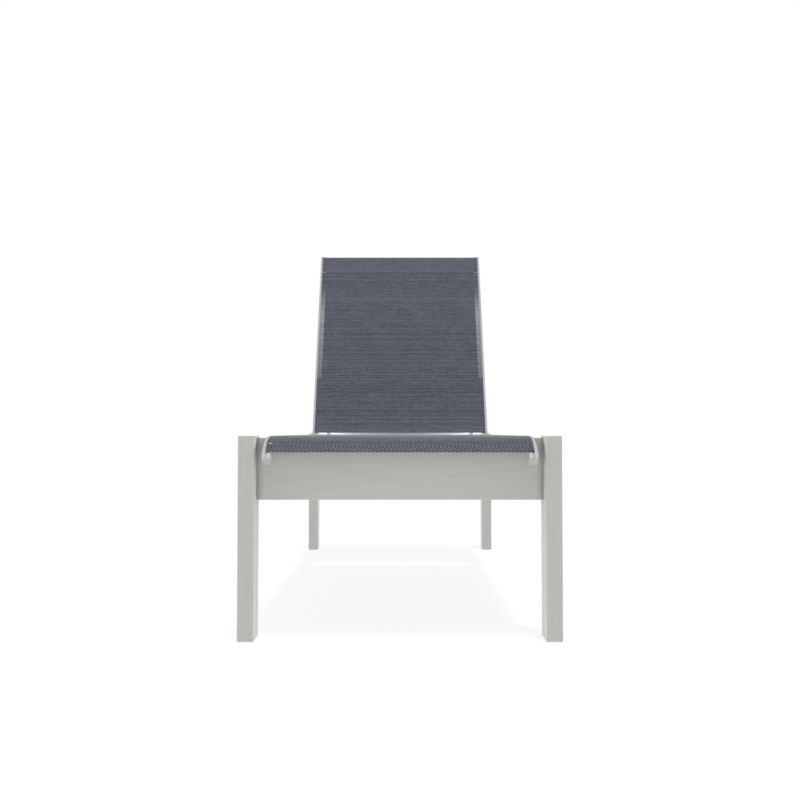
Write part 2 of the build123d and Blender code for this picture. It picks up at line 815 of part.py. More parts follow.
def make_rack():
    """Right rack on the side board's inner face, with round pockets."""
    plane = Plane(origin=(board_inner_x, 0, 0), x_dir=(0, 1, 0), z_dir=(1, 0, 0))
    side = make_face(Polyline(*rack_outline(), close=True))
    for angle in pocket_angles:
        side = side - Pos(pocket_place(angle), foot[1]) * Circle(pocket_radius)
    rack = extrude(plane * side, amount=-rack_thickness)
    return rack - [screw_hole(place, rack_screw_length) for place in rack_screw_places()]


# Every node: right-hand pieces have a mirror image on the left

def save_pair(name, shape):
    """Writes a right-hand piece and its left-hand mirror image as two nodes."""
    save(f"{name}_right", shape)
    save(f"{name}_left", on_left(shape))


def four_corners(pieces):
    """Front right pieces repeated at every corner, as one group."""
    front = pieces + [on_left(piece) for piece in pieces]
    return front + [at_rear(piece) for piece in front]


def save_board_frame():
    leg = make_leg()
    save_pair("front_leg", leg)
    save_pair("rear_leg", at_rear(leg))
    save("front_apron", make_front_apron())
    save("rear_apron", make_rear_apron())
    save_pair("side_board", make_side_board())
    brace = make_brace()
    save_pair("front_corner_brace", brace)
    save_pair("rear_corner_brace", at_rear(brace))
    brace_screws = [screw(place, screw_length) for place in brace_screw_places()]
    save("corner_brace_screws", four_corners(brace_screws))
    save("leg_bolts", four_corners(make_leg_bolts()))
    save("leg_barrel_nuts", four_corners(make_barrel_nuts()))
    save("foot_glides", four_corners([make_glide()]))


def save_seat():
    save_pair("seat_rail", make_seat_rail())
    save_pair("seat_rail_nose_cap", make_nose_cap())
    save_pair("seat_rail_rear_cap", end_cap(seat_rail_rear, 1))
    save_pair("seat_spline", make_seat_spline())
    save("seat_sling", make_seat_sling())
    front = nose_start + seat_bar_front_inset
    rear = pivot_y - seat_bar_to_pivot
    save("seat_bar_front", bowed_bar(front))
    save("seat_bar_middle", bowed_bar(front + seat_bar_middle_share * (rear - front)))
    save("seat_bar_rear", bowed_bar(rear))
    save("seat_rail_clips", [piece for clip in make_rail_clips() for piece in both_sides(clip)])
    save("seat_rail_clip_screws", [piece for one in make_clip_screws() for piece in both_sides(one)])


def save_hinge():
    save_pair("hinge_plate", make_hinge_plate())
    plate_screws = [screw(place, screw_length) for place in hinge_screw_places()]
    save("hinge_plate_screws", [piece for one in plate_screws for piece in both_sides(one)])
    save("hinge_bolts", both_sides(make_hinge_bolt()))
    save("hinge_nuts", both_sides(make_hinge_nut()))


def save_racks():
    save_pair("elevator_rack", make_rack())
    rack_screws = [screw(place, rack_screw_length) for place in rack_screw_places()]
    save("elevator_rack_screws", [piece for one in rack_screws for piece in both_sides(one)])


def save_back():
    save_pair("back_rail", raised(make_back_rail()))
    save_pair("back_hinge_plug", raised(make_hinge_plug()))
    save_pair("back_rail_cap", raised(make_back_cap()))
    save_pair("back_spline", raised(make_back_spline()))
    save("back_sling", raised(make_back_sling()))
    rear_apron_end = frame_length - leg_depth + board_thickness
    save("back_bar_lower", raised(bowed_bar(pivot_y + back_bar_low_reach)))
    save("back_bar_middle", raised(bowed_bar(rear_apron_end + back_bar_apron_gap + bar_radius)))
    save("back_bar_upper", raised(bowed_bar(pivot_y + back_length - back_bar_top_inset)))
    save("elevator_inserts", both_sides(raised(make_elevator_insert())))
    save("elevator_spacers", both_sides(raised(make_elevator_spacer())))
    save("elevator_bolts", both_sides(raised(make_elevator_bolt())))


def save_elevator():
    save_pair("elevator_leg", make_elevator_leg())
    save("elevator_foot_bar", make_foot_bar())
    save("elevator_foot_plugs", both_sides(make_foot_plug()))


os.makedirs("parts", exist_ok=True)
save_board_frame()
save_seat()
save_hinge()
save_racks()
save_back()
save_elevator()
print("back hinge at Y, Z", round(pivot[0] - origin_y, 4), round(pivot[1], 4))
print("elevator pivot at Y, Z", round(elevator_pivot[0] - origin_y, 4), round(elevator_pivot[1], 4))
print("foot bar at Y, Z", round(foot[0] - origin_y, 4), round(foot[1], 4))
print("front legs at Y", round(-origin_y, 4), "rear legs end at Y", round(frame_length - origin_y, 4))
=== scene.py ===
import json
import math
import random
from collections import namedtuple

import bpy
import bmesh
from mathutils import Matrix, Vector


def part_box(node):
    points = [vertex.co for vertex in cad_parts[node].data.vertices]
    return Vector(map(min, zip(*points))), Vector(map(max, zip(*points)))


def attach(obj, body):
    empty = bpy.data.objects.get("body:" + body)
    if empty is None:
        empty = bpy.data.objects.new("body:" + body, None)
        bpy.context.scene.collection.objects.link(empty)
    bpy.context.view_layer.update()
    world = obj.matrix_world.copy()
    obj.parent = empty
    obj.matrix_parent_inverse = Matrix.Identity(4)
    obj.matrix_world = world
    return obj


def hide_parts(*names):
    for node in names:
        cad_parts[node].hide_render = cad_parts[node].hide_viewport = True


# Outdoor chaise lounge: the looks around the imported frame. Lengths below are in
# millimetres in the frame's own axes, and MM turns them into metres where a mesh is made.

MM = 0.001
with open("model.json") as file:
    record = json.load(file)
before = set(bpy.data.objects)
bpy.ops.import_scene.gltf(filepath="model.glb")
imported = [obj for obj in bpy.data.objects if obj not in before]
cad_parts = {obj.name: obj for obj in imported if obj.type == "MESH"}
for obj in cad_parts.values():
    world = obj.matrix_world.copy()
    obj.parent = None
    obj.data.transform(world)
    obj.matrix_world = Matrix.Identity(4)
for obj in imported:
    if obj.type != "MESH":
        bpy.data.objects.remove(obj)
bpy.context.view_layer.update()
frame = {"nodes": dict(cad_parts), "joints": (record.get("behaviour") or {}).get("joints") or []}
nodes = frame["nodes"]


def box(node):
    """Lowest and highest corner of a CAD node, in millimetres."""
    return [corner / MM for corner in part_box(node)]


def joint(name):
    return next(one for one in frame["joints"] if one["name"] == name)


# Sizes of the CAD part that its boxes don't give
GROOVE_FROM_OUTER = 8.5     # the spline groove's middle, in from the rail's outer face
GROOVE_DEPTH = 5.0
SHEET_LOW = 0.3             # the cloth's underside over the rails' top
SHEET = 1.0                 # the cloth's thickness
NOSE_START_INSET = 0.3
NOSE_RADIUS = 105.0
ELEVATOR_RADIUS = 6.35

# Places that the slings, threads and welds take from the frame
RAIL_LOW, RAIL_HIGH = box("seat_rail_right")
RAIL_TOP = RAIL_HIGH.z
RAIL_INNER_X = RAIL_LOW.x
GROOVE_X = RAIL_HIGH.x - GROOVE_FROM_OUTER
NOSE_START = box("front_leg_right")[1].y + NOSE_START_INSET
SEAT_LOW, SEAT_HIGH = box("seat_sling")
SEAT_ARC = math.asin((NOSE_START - SEAT_LOW.y) / (NOSE_RADIUS + SHEET_LOW + SHEET))
PIVOT = Vector(joint("back_recline")["pos_m"]) / MM
BACK_ANGLE = math.radians(-joint("back_recline")["range_deg"][0])
UP_BACK = Vector((0, math.cos(BACK_ANGLE), math.sin(BACK_ANGLE)))
OUT_OF_BACK = Vector((0, -math.sin(BACK_ANGLE), math.cos(BACK_ANGLE)))
ELEVATOR_PIVOT = Vector(joint("elevator_swing")["pos_m"]) / MM
FOOT = sum(box("elevator_foot_bar"), Vector()) / 2
ELEVATOR_X = sum(box("elevator_leg_right"), Vector()).x / 2


def reach_up_back(node):
    """The lowest and highest distance from the hinge, up the back, that a node reaches."""
    reach = [(vertex.co / MM - PIVOT).dot(UP_BACK) for vertex in nodes[node].data.vertices]
    return min(reach), max(reach)


BACK_START, BACK_END = reach_up_back("back_sling")
SEAT_FRONT_ARC = (NOSE_RADIUS + SHEET_LOW + SHEET / 2) * SEAT_ARC
SEAT_LENGTH = SEAT_FRONT_ARC + SEAT_HIGH.y - NOSE_START
BACK_LENGTH = BACK_END - BACK_START


# Places on the two slings: a distance along the cloth and a height over the rails' top

def seat_place(x, along, height):
    """along runs from the front edge, round the nose, to the rear edge."""
    if along < SEAT_FRONT_ARC:
        turn = SEAT_ARC * (1 - along / SEAT_FRONT_ARC)
        reach = NOSE_RADIUS + height
        return (x, NOSE_START - reach * math.sin(turn),
                RAIL_TOP - NOSE_RADIUS + reach * math.cos(turn))
    return (x, NOSE_START + along - SEAT_FRONT_ARC, RAIL_TOP + height)


def back_place(x, along, height):
    """along runs from the lower edge of the back's cloth up to its top edge."""
    out = RAIL_TOP - PIVOT.z + height
    return PIVOT + Vector((x, 0, 0)) + (BACK_START + along) * UP_BACK + out * OUT_OF_BACK


# Meshes

def new_object(name, bm, material, smooth=True):
    mesh = bpy.data.meshes.new(name)
    bmesh.ops.recalc_face_normals(bm, faces=bm.faces)
    bm.to_mesh(mesh)
    bm.free()
    obj = bpy.data.objects.new(name, mesh)
    bpy.context.collection.objects.link(obj)
    mesh.materials.append(material)
    if smooth:
        mesh.shade_smooth()
    return obj


def smooth_step(low, high, value):
    share = min(1.0, max(0.0, (value - low) / (high - low)))
    return share * share * (3 - 2 * share)


def turns(count):
    """The angles of a full turn in equal steps, in radians."""
    return [2 * math.pi * k / count for k in range(count)]


def add_ring(bm, centre, radius, first, second, sides):
    """A ring of vertices round a centre, in the plane of two directions."""
    return [bm.verts.new((centre + radius * (math.cos(a) * first + math.sin(a) * second)) * MM)
            for a in turns(sides)]


def join_rings(bm, low, high):
    count = len(low)
    for k in range(count):
        n = (k + 1) % count
        bm.faces.new((low[k], low[n], high[n], high[k]))


# Half a sling's section, right of the middle: places across its flat part, the middle and
# radius of its rolled edge, and the outer and inner radius of its loop round the spline
FLAT_PLACES = (0, 40, 80, 120, 160, 195, 225, 245, 256, 262, 265, 268, 270, 271.2, 272.4,
               274, 277, 280)
EDGE_X, EDGE_HEIGHT, EDGE_RADIUS = 282.0, 0.2, 1.1
LOOP_OUTER, LOOP_INNER = 2.9, 2.35
FLAT_COUNT = len(FLAT_PLACES)
EDGE_COUNT = 7
LOOP_COUNT = 17


def loop_points(radius, start, sweep):
    """Points round the spline, from one angle in degrees on through a sweep."""
    points = []
    for step in range(LOOP_COUNT):
        turn = math.radians(start + step * sweep / (LOOP_COUNT - 1))
        points.append((GROOVE_X + radius * math.cos(turn),
                       -GROOVE_DEPTH + radius * math.sin(turn), 0))
    return points


def half_section():
    """Right half of a sling's section: top, rolled edge, neck, a loop round the spline and
    the underside. Each point is x, height, and 1 for the top or -1 for the underside."""
    points = [(x, SHEET_LOW + SHEET, 1) for x in FLAT_PLACES]
    for step in range(EDGE_COUNT):
        turn = math.pi / 2 * (1 - step / (EDGE_COUNT - 1))
        points.append((EDGE_X + EDGE_RADIUS * math.cos(turn),
                       EDGE_HEIGHT + EDGE_RADIUS * math.sin(turn), 0))
    points += loop_points(LOOP_OUTER, 76.0, -332.0)
    points += [(GROOVE_X - 0.7, -0.15, 0), (GROOVE_X - 0.15, -0.15, 0)]
    points += loop_points(LOOP_INNER, 94.0, 352.0)
    points += [(GROOVE_X + 0.15, 0.1, 0), (GROOVE_X - 0.05, 0.25, 0)]
    points += [(GROOVE_X - 0.4, SHEET_LOW, -1)]
    points += [(x, SHEET_LOW, -1) for x in reversed(FLAT_PLACES)]
    return points


def cap_faces(count):
    """Faces that close a sling's end, as places in its section of that many points."""
    edge = FLAT_COUNT
    outer = edge + EDGE_COUNT
    tuck = outer + LOOP_COUNT
    inner = tuck + 2
    neck = inner + LOOP_COUNT
    under = neck + 3
    last = under + FLAT_COUNT - 1
    faces = [(k, k + 1, last - k - 1, last - k) for k in range(FLAT_COUNT - 1)]
    faces += [(outer + k, outer + k + 1, neck - k - 2, neck - k - 1)
              for k in range(LOOP_COUNT - 1)]
    faces += [(tuck - 1, tuck, tuck + 1, inner), (outer - 1, outer, neck - 1, neck)]
    rim = [neck + 2, under, edge - 1, *range(edge, outer), neck]
    faces += [(neck + 1, a, b) for a, b in zip(rim, rim[1:])]
    left = [tuple(place if place in (0, last) else count - place for place in face)
            for face in faces]
    return faces + left


# A hem: whether it is at the start of the cloth, how wide it is, how far inside the cloth's
# edge the fold lies between the rails, and how far the doubled cloth rises
Hem = namedtuple("Hem", "at_start width inset rise")

# Rows of points over a hem: in from the cloth's edge, short of the hem's inner edge, and
# past that edge. Even rows about this far apart fill the rest of the cloth.
EDGE_ROWS = (0, 0.12, 0.35, 0.7, 1.1, 1.6, 2.4, 4, 6, 8.5, 11, 14)
ROWS_BEFORE = (9, 6.5, 4.5, 3.4, 2.6, 2, 1.4, 0.8, 0.3, 0.0)
ROWS_PAST = (0.3, 0.9, 1.8, 3, 5, 8, 12)
ROW_STEP = 7

# The stitch line, this far inside the hem's inner edge: how deep it sinks the top, how wide
# it is, how far it pulls the underside in, and how high and far the cloth puckers beside it
STITCH_INSET = 2.0
STITCH_DIP, STITCH_WIDTH, STITCH_BELOW = 0.34, 0.8, 0.45
PUCKER, PUCKER_REACH = 0.13, 5.0
HEM_REACH = 14              # how far past its width a hem still changes the cloth
WAVE = 0.25                 # height of the faint waves in the taut cloth


def hem_rows(length, hems):
    """Distances along the cloth: close rows over each hem, wide ones between the hems."""
    rows = set()
    filled = EDGE_ROWS[-1] + ROWS_BEFORE[0]
    for hem in hems:
        local = list(EDGE_ROWS)
        local += [hem.width - d for d in ROWS_BEFORE]
        local += [hem.width + d for d in ROWS_PAST]
        local += [EDGE_ROWS[-1] + (hem.width - filled) * share for share in (0.2, 0.4, 0.6, 0.8)]
        rows |= {round(d if hem.at_start else length - d, 3) for d in local}
    last = max(row for row in rows if row < length / 2)
    next_one = min(row for row in rows if row > length / 2)
    count = round((next_one - last) / ROW_STEP)
    rows |= {round(last + (next_one - last) * step / count, 3) for step in range(1, count)}
    return sorted(rows)


def sling(name, place, length, hems, material, seed):
    """A sling as one closed sheet of cloth with a folded hem at each end between the rails."""
    random.seed(seed)
    phases = [random.uniform(0, 2 * math.pi) for _ in range(6)]
    right = half_section()
    left = [(-x, h, side) for x, h, side in right]
    section = right + [point for point in reversed(left) if abs(point[0]) > 1e-6]
    rows = hem_rows(length, hems)

    def hemmed(x, along, height, side, between, hem):
        """A point's place along the cloth and its height, as one hem changes them."""
        s = along if hem.at_start else length - along
        if s > hem.width + HEM_REACH:
            return along, height
        shift = hem.inset * between * (1 - smooth_step(0, hem.width, s))
        along += shift if hem.at_start else -shift
        off_line = s - hem.width + STITCH_INSET
        stitch = math.exp(-(off_line / STITCH_WIDTH) ** 2)
        pucker = math.sin(x / 1.45 + phases[0]) * 0.5 + math.sin(x / 0.97 + phases[1]) * 0.3
        near = math.exp(-(off_line / PUCKER_REACH) ** 2)
        if side == 1:
            raised = hem.rise * (1 - smooth_step(hem.width - 1.0, hem.width + 1.2, s))
            height += between * (raised - STITCH_DIP * stitch)
            height += between * PUCKER * near * pucker
        if side == -1:
            doubled = 1 - smooth_step(hem.width - 0.1, hem.width + 0.3, s)
            height -= between * doubled * (SHEET - STITCH_BELOW * stitch)
        thick = SHEET + between
        if side and s < thick / 2:
            middle = SHEET_LOW + SHEET + hem.rise * between - thick / 2
            round_share = math.sqrt(max(0.0, 1 - (1 - s / (thick / 2)) ** 2))
            height = middle + (height - middle) * max(round_share, 0.05)
        return along, height

    def shaped(x, along, height, side):
        """A point's place in the frame and its place on the cloth."""
        between = 1 - smooth_step(RAIL_INNER_X - 2.0, RAIL_INNER_X - 0.4, abs(x))
        for hem in hems:
            along, height = hemmed(x, along, height, side, between, hem)
        if side:
            slack = between * smooth_step(20, 120, min(along, length - along))
            wave = math.sin(x / 61 + phases[2]) * math.sin(along / 83 + phases[3])
            ripple = math.sin(x / 29 + phases[4] + along / 170)
            wave += 0.5 * ripple * math.sin(along / 47 + phases[5])
            height += slack * WAVE * wave
        return place(x, along, height), (x, along)

    bm = bmesh.new()
    layer = bm.loops.layers.uv.new("cloth")
    rings, cuts = [], []
    for along in rows:
        made = [shaped(x, along, h, side) for x, h, side in section]
        rings.append([bm.verts.new(Vector(p) * MM) for p, _ in made])
        cuts.append([uv for _, uv in made])
    count = len(section)

    def add_face(corners):
        """A face through points given by their row and their place in the section."""
        face = bm.faces.new([rings[r][c] for r, c in corners])
        for loop, (r, c) in zip(face.loops, corners):
            loop[layer].uv = (cuts[r][c][0] * MM, cuts[r][c][1] * MM)

    for row in range(len(rows) - 1):
        for i in range(count):
            j = (i + 1) % count
            add_face(((row, i), (row, j), (row + 1, j), (row + 1, i)))
    for row in (0, len(rows) - 1):
        for places in cap_faces(count):
            add_face([(row, place_in_row) for place_in_row in places])
    return new_object(name, bm, material)


# Threads: the radius of each kind, and how far a thread's ends pull in
STITCH_RADIUS, TACK_RADIUS, CROSS_RADIUS = 0.27, 0.34, 0.3
THREAD_SIDES = 6
END_SHARE = 0.45
STITCH_PITCH, STITCH_LONG = 3.6, 3.0
STITCH_ARCH = ((-0.5, -0.35), (-0.36, 0.02), (0.0, 0.16), (0.36, 0.02), (0.5, -0.35))
TACK_SPAN = (271.2, 280.8)  # from just short of the rail's inner face to near the rolled edge
TACK_ROWS, TACK_STEP = 5, 0.62
CROSSINGS, CROSS_INSET = 7, 0.7
CROSS_ARCH = ((-0.25, -1.3, 0.0), (0.0, 0.0, 0.42), (0.25, 1.3, 0.0))


def add_thread(bm, points, radius):
    """A thin closed tube through points in millimetres, with pulled-in ends."""
    rings = []
    for index, point in enumerate(points):
        before = points[max(index - 1, 0)]
        after = points[min(index + 1, len(points) - 1)]
        along = (after - before).normalized()
        side = along.orthogonal().normalized()
        other = along.cross(side)
        size = radius * (END_SHARE if index in (0, len(points) - 1) else 1.0)
        rings.append(add_ring(bm, point, size, side, other, THREAD_SIDES))
    for low, high in zip(rings, rings[1:]):
        join_rings(bm, low, high)
    bm.faces.new(rings[0])
    bm.faces.new(rings[-1])


def stitch_line(name, place, along, height, reach, material):
    """A row of lock stitches across the cloth, each a short thread that dips at its ends."""
    bm = bmesh.new()
    count = int(2 * reach / STITCH_PITCH)
    for k in range(count):
        x = -reach + (k + 0.5) * 2 * reach / count
        points = [Vector(place(x + share * STITCH_LONG, along, height + rise))
                  for share, rise in STITCH_ARCH]
        add_thread(bm, points, STITCH_RADIUS)
    return new_object(name, bm, material)


def bar_tack(name, place, along, height, sign, material):
    """Close stitches that lock a hem's corner over one rail: long ones and a few across them."""
    x_low, x_high = TACK_SPAN
    bm = bmesh.new()
    for k in range(TACK_ROWS):
        offset = (k - TACK_ROWS // 2) * TACK_STEP
        points = []
        for step in range(5):
            x = x_low + (x_high - x_low) * step / 4
            dip = -0.3 if step in (0, 4) else 0.2
            points.append(Vector(place(sign * x, along + offset, height + dip)))
        add_thread(bm, points, TACK_RADIUS)
    for k in range(CROSSINGS):
        x = x_low + CROSS_INSET + (x_high - x_low - 2 * CROSS_INSET) * k / (CROSSINGS - 1)
        points = [Vector(place(sign * (x + lean), along + reach, height + rise))
                  for lean, reach, rise in CROSS_ARCH]
        add_thread(bm, points, CROSS_RADIUS)
    return new_object(name, bm, material)


# Weld beads: points round one, its sides, its ripples, and how far its middle stands off a
# face. The bars' beads are ellipses, along the rail and up from it.
BEAD_POINTS, BEAD_SIDES = 64, 8
RIPPLE_POINTS, RIPPLE, UNEVEN = 4, 0.10, 0.05
BEAD_OFF = 0.35
BAR_BEAD, BAR_ALONG, BAR_UP = 1.35, 8.9, 9.4
FOOT_BEAD, FOOT_RISE = 1.0, 0.6


def add_bead(bm, path, radius, seed):
    """A closed rippled weld bead along a loop of points in millimetres."""
    rng = random.Random(seed)
    start = rng.uniform(0, 2 * math.pi)
    rings = []
    count = len(path)
    centre = sum(path, Vector()) / count
    for index, point in enumerate(path):
        along = (path[(index + 1) % count] - path[index - 1]).normalized()
        outward = (point - centre).normalized()
        other = along.cross(outward).normalized()
        outward = other.cross(along)
        ripple = math.sin(index * 2 * math.pi / RIPPLE_POINTS + start)
        size = radius * (1 + RIPPLE * ripple + UNEVEN * rng.uniform(-1, 1))
        rings.append(add_ring(bm, point, size, outward, other, BEAD_SIDES))
    for index in range(count):
        join_rings(bm, rings[index], rings[(index + 1) % count])


def ellipse(centre, across, up):
    return [centre + math.cos(a) * across + math.sin(a) * up for a in turns(BEAD_POINTS)]


def bar_welds(name, bars, on_back, material):
    """Weld beads where each bowed bar meets the rails' inner faces."""
    bm = bmesh.new()
    for number, bar in enumerate(bars):
        if on_back:
            middle = PIVOT + sum(reach_up_back(bar)) / 2 * UP_BACK
            along, up = UP_BACK, OUT_OF_BACK
        else:
            middle = Vector((0, sum(box(bar), Vector()).y / 2, PIVOT.z))
            along, up = Vector((0, 1, 0)), Vector((0, 0, 1))
        for sign in (-1, 1):
            centre = middle + Vector((sign * (RAIL_INNER_X - BEAD_OFF), 0, 0))
            path = ellipse(centre, BAR_ALONG * along, BAR_UP * up)
            add_bead(bm, path, BAR_BEAD, 10 * number + sign)
    return new_object(name, bm, material)


def elevator_welds(name, material):
    """Saddle-shaped beads where the elevator's legs meet its foot bar."""
    along = (FOOT - ELEVATOR_PIVOT).normalized()
    across = along.cross(Vector((1, 0, 0)))
    size = ELEVATOR_RADIUS + BEAD_OFF
    bm = bmesh.new()
    for sign in (-1, 1):
        path = []
        for a in turns(BEAD_POINTS):
            rise = ELEVATOR_RADIUS * abs(math.cos(a)) + FOOT_RISE
            path.append(FOOT - along * rise + across * (size * math.sin(a))
                        + Vector((sign * ELEVATOR_X + size * math.cos(a), 0, 0)))
        add_bead(bm, path, FOOT_BEAD, 100 + sign)
    return new_object(name, bm, material)


# Materials. Each is worked out from places on the object alone.

def put(tree, socket, value):
    """Links a socket to another node's output, or gives it a value of its own."""
    if isinstance(value, bpy.types.NodeSocket):
        tree.links.new(value, socket)
    else:
        socket.default_value = value


def math_node(tree, operation, *values):
    node = tree.nodes.new("ShaderNodeMath")
    node.operation = operation
    for socket, value in zip(node.inputs, values):
        put(tree, socket, value)
    return node.outputs[0]


class Shader:
    """A material with one Principled shader and short ways to add nodes to it."""

    def __init__(self, name, roughness, specular, metallic=0.0):
        self.material = bpy.data.materials.new(name)
        self.material.use_nodes = True
        self.tree = self.material.node_tree
        self.surface = self.tree.nodes["Principled BSDF"]
        self.surface.inputs["Roughness"].default_value = roughness
        self.surface.inputs["Specular IOR Level"].default_value = specular
        self.surface.inputs["Metallic"].default_value = metallic

    def math(self, operation, *values):
        return math_node(self.tree, operation, *values)

    def times(self, first, *others):
        for other in others:
            first = self.math("MULTIPLY", first, other)
        return first

    def plus(self, first, second):
        return self.math("ADD", first, second)

    def minus(self, first, second):
        return self.math("SUBTRACT", first, second)

    def size(self, value):
        return self.math("ABSOLUTE", value)

    def ridges(self, value, count=1):
        """Arches from 0 to 1 and back, so many in each whole step of a value."""
        return self.size(self.math("SINE", self.times(value, math.pi * count)))

    def line(self, value, low, high):
        """0 below low, 1 above high and straight between."""
        node = self.tree.nodes.new("ShaderNodeMapRange")
        for key, number in (("Value", value), ("From Min", low), ("From Max", high)):
            put(self.tree, node.inputs[key], number)
        return node.outputs["Result"]

    def ramp(self, value, low, high):
        """0 below low, 1 above high and smooth between."""
        result = self.line(value, low, high)
        result.node.interpolation_type = "SMOOTHSTEP"
        return result

    def shuffle(self, value):
        """A steady random number from 0 to 1 for each whole number."""
        node = self.tree.nodes.new("ShaderNodeTexWhiteNoise")
        node.noise_dimensions = "1D"
        put(self.tree, node.inputs["W"], value)
        return node.outputs["Value"]

    def yarn(self, along, number, salt, detail=2.0):
        """Noise along one yarn, different for each yarn's number."""
        node = self.tree.nodes.new("ShaderNodeTexNoise")
        node.noise_dimensions = "1D"
        node.inputs["Scale"].default_value = 1.0
        node.inputs["Detail"].default_value = detail
        start = self.times(self.shuffle(self.plus(number, salt)), 900.0)
        put(self.tree, node.inputs["W"], self.plus(along, start))
        return node.outputs["Fac"]

    def blend_of(self, *parts):
        """A half, plus each noise's distance from a half times its weight."""
        total = 0.5
        for value, weight in parts:
            total = self.plus(total, self.times(self.minus(value, 0.5), weight))
        return total

    def mix(self, share, first, second):
        node = self.tree.nodes.new("ShaderNodeMix")
        node.data_type = "RGBA"
        put(self.tree, node.inputs[0], share)
        put(self.tree, node.inputs[6], first)
        put(self.tree, node.inputs[7], second)
        return node.outputs[2]

    def places(self, source="Object"):
        return self.tree.nodes.new("ShaderNodeTexCoord").outputs[source]

    def split(self, vector):
        """The three parts of a vector."""
        node = self.tree.nodes.new("ShaderNodeSeparateXYZ")
        self.tree.links.new(vector, node.inputs[0])
        return node.outputs

    def noise(self, scale, detail=2.0, stretch=(1, 1, 1), source="Object"):
        places = self.places(source)
        mapping = self.tree.nodes.new("ShaderNodeMapping")
        mapping.inputs["Scale"].default_value = stretch
        self.tree.links.new(places, mapping.inputs["Vector"])
        node = self.tree.nodes.new("ShaderNodeTexNoise")
        node.inputs["Scale"].default_value = scale
        node.inputs["Detail"].default_value = detail
        self.tree.links.new(mapping.outputs[0], node.inputs["Vector"])
        return node.outputs["Fac"]

    def bump(self, height, strength, distance):
        node = self.tree.nodes.new("ShaderNodeBump")
        node.inputs["Strength"].default_value = strength
        node.inputs["Distance"].default_value = distance
        self.tree.links.new(height, node.inputs["Height"])
        self.tree.links.new(node.outputs[0], self.surface.inputs["Normal"])

    def colour(self, value):
        put(self.tree, self.surface.inputs["Base Color"], value)

    def rough(self, least, pattern, span):
        """Roughness from least upwards, by a pattern from 0 to 1 times a span."""
        value = self.plus(least, self.times(pattern, span))
        put(self.tree, self.surface.inputs["Roughness"], value)


def linear(red, green, blue):
    """A colour given in display levels from 0 to 255."""
    out = []
    for level in (red, green, blue):
        c = level / 255
        out.append(c / 12.92 if c <= 0.04045 else ((c + 0.055) / 1.055) ** 2.4)
    return (*out, 1.0)


def shifted(level, step):
    """A colour in display levels, made lighter or darker by a few levels."""
    return linear(*(part + step for part in level))


def board_shader(name, stretch, lift=0, shade_from=None):
    """Moulded board: faint streaks along its length, fine grain and a few soft marks. Its two
    ends can get painted shade towards the legs, from shade_from to END_SHADE_TO metres off the
    middle."""
    s = Shader(name, roughness=0.6, specular=0.3)
    streaks = s.noise(18.0, detail=4.0, stretch=stretch)
    blotches = s.noise(7.0)
    grain = s.noise(900.0)

    def grey(level):
        return linear(level + lift, level + lift - 1, level + lift - 4)

    tone = s.mix(s.ramp(streaks, 0.3, 0.7), grey(196), grey(200))
    tone = s.mix(s.times(s.ramp(blotches, 0.55, 0.8), 0.3), tone, grey(192))
    tone = s.mix(s.times(s.ramp(grain, 0.5, 0.75), 0.2), tone, grey(206))
    # Painted shade: the board's ends darken towards the legs, where the legs shade them
    if shade_from:
        end = s.line(s.size(s.split(s.places())[0]), shade_from, END_SHADE_TO)
        tone = s.mix(s.times(end, end, 0.66), tone, grey(120))
    s.colour(tone)
    s.rough(0.54, grain, 0.16)
    s.bump(s.plus(s.times(grain, 0.4), s.times(streaks, 0.3)), strength=0.25, distance=0.0004)
    return s.material


def paint_shader(name, level, roughness=0.45):
    """Powder coat on aluminium: fine orange peel and slight changes in tone."""
    s = Shader(name, roughness, specular=0.4)
    peel = s.noise(420.0)
    wide = s.noise(9.0)
    tone = s.mix(s.ramp(wide, 0.3, 0.7), shifted(level, -2), shifted(level, 2))
    tone = s.mix(s.times(s.ramp(peel, 0.5, 0.7), 0.25), tone, shifted(level, -6))
    s.colour(tone)
    s.rough(roughness - 0.08, peel, 0.16)
    s.bump(peel, strength=0.2, distance=0.00015)
    return s.material


def plastic_shader(name, level, roughness):
    """Moulded plastic with a fine spark-eroded surface."""
    s = Shader(name, roughness, specular=0.4)
    fine = s.noise(1500.0, detail=1.0)
    wide = s.noise(30.0)
    s.colour(s.mix(s.ramp(wide, 0.3, 0.7), shifted(level, -3), shifted(level, 3)))
    s.rough(roughness - 0.05, fine, 0.12)
    s.bump(fine, strength=0.15, distance=0.00008)
    return s.material


def steel_shader(name):
    """Stainless fasteners with turned and rubbed marks."""
    s = Shader(name, roughness=0.34, specular=0.5, metallic=1.0)
    marks = s.noise(600.0, detail=3.0, stretch=(1, 5, 5))
    wide = s.noise(60.0)
    s.colour(s.mix(s.ramp(wide, 0.3, 0.7), linear(184, 183, 180), linear(206, 205, 202)))
    s.rough(0.26, marks, 0.2)
    s.bump(marks, strength=0.12, distance=0.00006)
    return s.material


def weld_shader(name):
    """Painted weld bead, a little rougher than the rails."""
    s = Shader(name, roughness=0.5, specular=0.4)
    scale = s.noise(500.0, detail=3.0)
    s.colour(s.mix(s.ramp(scale, 0.35, 0.7), linear(188, 187, 183), linear(199, 198, 195)))
    s.rough(0.42, scale, 0.16)
    s.bump(scale, strength=0.3, distance=0.0002)
    return s.material


def thread_shader(name, level):
    """Sewing thread with its twist."""
    s = Shader(name, roughness=0.75, specular=0.2)
    twist = s.noise(1800.0, detail=1.0)
    s.colour(s.mix(s.ramp(twist, 0.35, 0.65), shifted(level, -14), shifted(level, 8)))
    s.bump(twist, strength=0.3, distance=0.0001)
    return s.material


